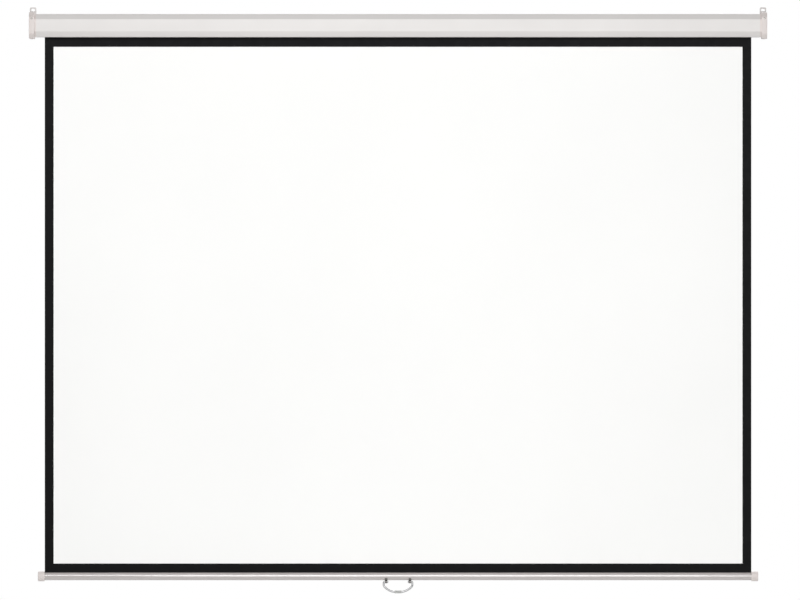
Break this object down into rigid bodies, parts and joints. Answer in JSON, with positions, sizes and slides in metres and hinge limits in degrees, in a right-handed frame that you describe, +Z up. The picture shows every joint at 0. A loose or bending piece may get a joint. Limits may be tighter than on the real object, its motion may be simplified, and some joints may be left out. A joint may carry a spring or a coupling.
{
  "type": "pull down projector screen",
  "caption": "Wall-hung pull-down projection screen: octagonal casing, spring roller, white fabric with black border, weighted bottom bar and wire pull handle.",
  "frame": {"origin": "middle of the casing's flat back face, on the wall plane, halfway between its ends and at the middle of its height", "axes": "+X along the casing to the right of someone facing the screen, +Y into the wall, +Z up; the viewing side faces -Y; stored with the screen fully pulled down"},
  "size_m": [2.174, 0.0791, 1.7291],
  "materials": {
    "casing_paint": "semi-gloss white powder coat",
    "cap_plastic": "satin off-white moulding",
    "bracket_paint": "satin white",
    "screw_steel": "zinc plated",
    "inner_steel": "zinc plated",
    "spring_steel": "oiled",
    "nylon": "natural nylon",
    "pawl_brass": "bare",
    "white_fabric": "matt white coated cloth, black on the back",
    "black_coat": "matt black coating",
    "black_backing": "matt black",
    "bar_enamel": "gloss white enamel",
    "clip_steel": "dark zinc plated",
    "handle_chrome": "polished",
    "grip_plastic": "satin grey"
  },
  "bodies": {
    "casing": {"casing_shell": "casing_paint", "end_cap_left": "cap_plastic", "end_cap_right": "cap_plastic", "hanging_bracket_left": "bracket_paint", "hanging_bracket_right": "bracket_paint", "cap_screw_left": "screw_steel", "cap_screw_right": "screw_steel", "bracket_screw_left_lower": "screw_steel", "bracket_screw_left_upper": "screw_steel", "bracket_screw_right_lower": "screw_steel", "bracket_screw_right_upper": "screw_steel", "gudgeon_bush": "nylon", "spring_shaft": "inner_steel", "spring_anchor": "nylon", "torsion_spring": "spring_steel", "ratchet_wheel": "inner_steel", "screen_fabric": "white_fabric", "black_border": "black_coat"},
    "roller": {"roller_tube": "inner_steel", "roller_plug_left": "nylon", "roller_plug_right": "nylon", "fabric_wraps": "black_backing", "gudgeon_pin": "inner_steel", "pawl_pivot_upper": "inner_steel", "pawl_pivot_lower": "inner_steel"},
    "upper_pawl": {"pawl_upper": "pawl_brass"},
    "lower_pawl": {"pawl_lower": "pawl_brass"},
    "bottom_bar": {"bar_tube": "bar_enamel", "bar_cap_left": "cap_plastic", "bar_cap_right": "cap_plastic", "hem_rod": "inner_steel", "handle_clip_left": "clip_steel", "handle_clip_right": "clip_steel", "handle_screw_left": "screw_steel", "handle_screw_right": "screw_steel"},
    "handle": {"pull_handle": "handle_chrome", "handle_grip": "grip_plastic"}
  },
  "joints": [
    {"name": "screen_pull", "type": "slide", "parent": "casing", "child": "bottom_bar", "axis": [0, 0, 1], "range_m": [0, 1.574], "deforming": ["screen_fabric", "black_border"]},
    {"name": "roller_spin", "type": "hinge", "parent": "casing", "child": "roller", "pos_m": [0, -0.03832, 0.002], "axis": [1, 0, 0], "range_deg": [0, 3960]},
    {"name": "upper_pawl_swing", "type": "hinge", "parent": "roller", "child": "upper_pawl", "pos_m": [-1.0528, -0.03832, 0.017], "axis": [1, 0, 0], "range_deg": [0, 15]},
    {"name": "lower_pawl_swing", "type": "hinge", "parent": "roller", "child": "lower_pawl", "pos_m": [-1.0528, -0.03832, -0.013], "axis": [1, 0, 0], "range_deg": [0, 15]},
    {"name": "handle_swing", "type": "hinge", "parent": "bottom_bar", "child": "handle", "pos_m": [0, -0.018, -1.64005], "axis": [1, 0, 0], "range_deg": [-90, 90]}
  ],
  "couplings": [
    {"joint": "roller_spin", "follows": "screen_pull", "rad_per_m": 43.91}
  ]
}
